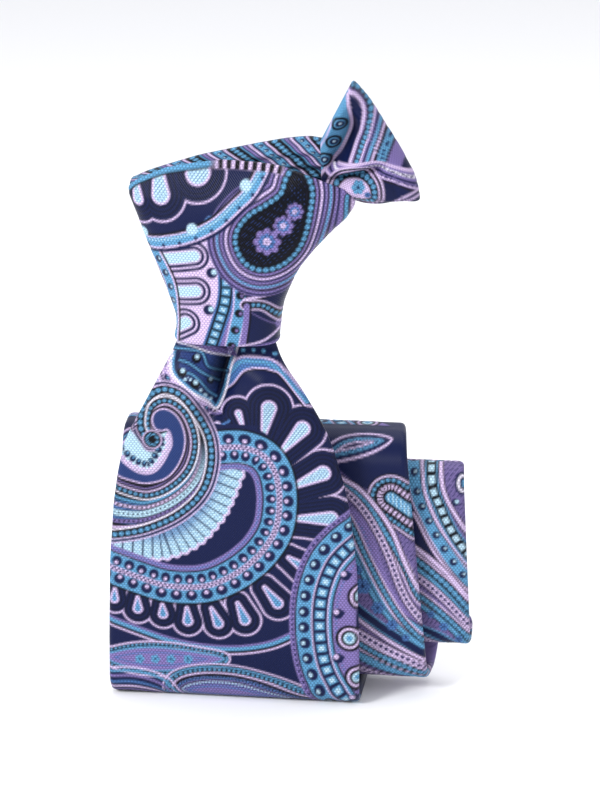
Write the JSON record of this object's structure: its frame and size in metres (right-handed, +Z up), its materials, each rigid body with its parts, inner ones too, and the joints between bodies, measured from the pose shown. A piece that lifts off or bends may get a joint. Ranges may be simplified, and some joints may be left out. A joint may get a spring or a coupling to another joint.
{
  "type": "necktie",
  "caption": "Ready-tied silk necktie with a wide paisley blade wound into a flat roll that stands up below the knot.",
  "frame": {"origin": "middle of the whole tie's footprint, on the surface it stands on", "axes": "+Z up from the rolled blade to the knot, -Y out of the front panel, +X to the viewer's right of the front panel, towards the pinched wing of the neck loop"},
  "size_m": [0.1138, 0.0476, 0.1989],
  "materials": {
    "blade_silk": "woven paisley silk, satin",
    "knot_silk": "woven paisley silk, satin",
    "neck_silk": "woven paisley silk, satin",
    "wool": "brushed wool interlining",
    "lining": "plain satin tipping",
    "thread": "silk sewing thread"
  },
  "bodies": {
    "knot_and_front": {"knot_front_wrap": "knot_silk", "knot_back_wrap": "knot_silk", "knot_core": "knot_silk", "knot_top_band": "neck_silk", "neck_folds_shell": "neck_silk", "neck_folds_interlining": "wool", "blade_shell_1": "blade_silk", "blade_interlining_1": "wool"},
    "panel_2": {"blade_shell_2": "blade_silk", "blade_interlining_2": "wool"},
    "panel_3": {"blade_shell_3": "blade_silk", "blade_interlining_3": "wool"},
    "panel_4": {"blade_shell_4": "blade_silk", "blade_interlining_4": "wool", "keeper_loop": "blade_silk"},
    "panel_5": {"blade_shell_5": "blade_silk", "blade_interlining_5": "wool", "blade_bar_tack": "thread", "slip_stitch_thread": "thread"},
    "panel_6": {"blade_shell_6": "blade_silk", "blade_interlining_6": "wool", "blade_tipping": "lining"},
    "neck_wing": {"neck_wing_shell": "neck_silk", "neck_wing_interlining": "wool"},
    "tail": {"tail_shell": "blade_silk", "tail_interlining": "wool", "tail_tipping": "lining", "tail_bar_tack": "thread"}
  },
  "joints": [
    {"name": "fold_1", "type": "hinge", "parent": "knot_and_front", "child": "panel_2", "pos_m": [-0.017, 0.0222, 0.0071], "axis": [-1, 0, 0], "range_deg": [-1, 12]},
    {"name": "fold_2", "type": "hinge", "parent": "panel_2", "child": "panel_3", "pos_m": [-0.01, 0.01045, 0.0844], "axis": [-1, 0, 0], "range_deg": [-0.5, 2]},
    {"name": "fold_3", "type": "hinge", "parent": "panel_3", "child": "panel_4", "pos_m": [-0.005, 0.00745, 0.006], "axis": [-1, 0, 0], "range_deg": [-0.5, 2]},
    {"name": "fold_4", "type": "hinge", "parent": "panel_4", "child": "panel_5", "pos_m": [0.004, 0.01045, 0.0734], "axis": [-1, 0, 0], "range_deg": [-0.5, 2]},
    {"name": "fold_5", "type": "hinge", "parent": "panel_5", "child": "panel_6", "pos_m": [0.0095, 0.00745, 0.0172], "axis": [-1, 0, 0], "range_deg": [-0.5, 2]},
    {"name": "wing_bend", "type": "hinge", "parent": "knot_and_front", "child": "neck_wing", "pos_m": [0.01195, -0.003, 0.17], "axis": [0, 0, 1], "range_deg": [0, 25]},
    {"name": "tail_slide", "type": "slide", "parent": "knot_and_front", "child": "tail", "axis": [0, 0, 1], "range_m": [-0.004, 0.012]}
  ],
  "couplings": [
    {"joint": "fold_2", "follows": "fold_1", "ratio": 0.08},
    {"joint": "fold_3", "follows": "fold_1", "ratio": 0.08},
    {"joint": "fold_4", "follows": "fold_1", "ratio": 0.08},
    {"joint": "fold_5", "follows": "fold_1", "ratio": 0.08}
  ]
}
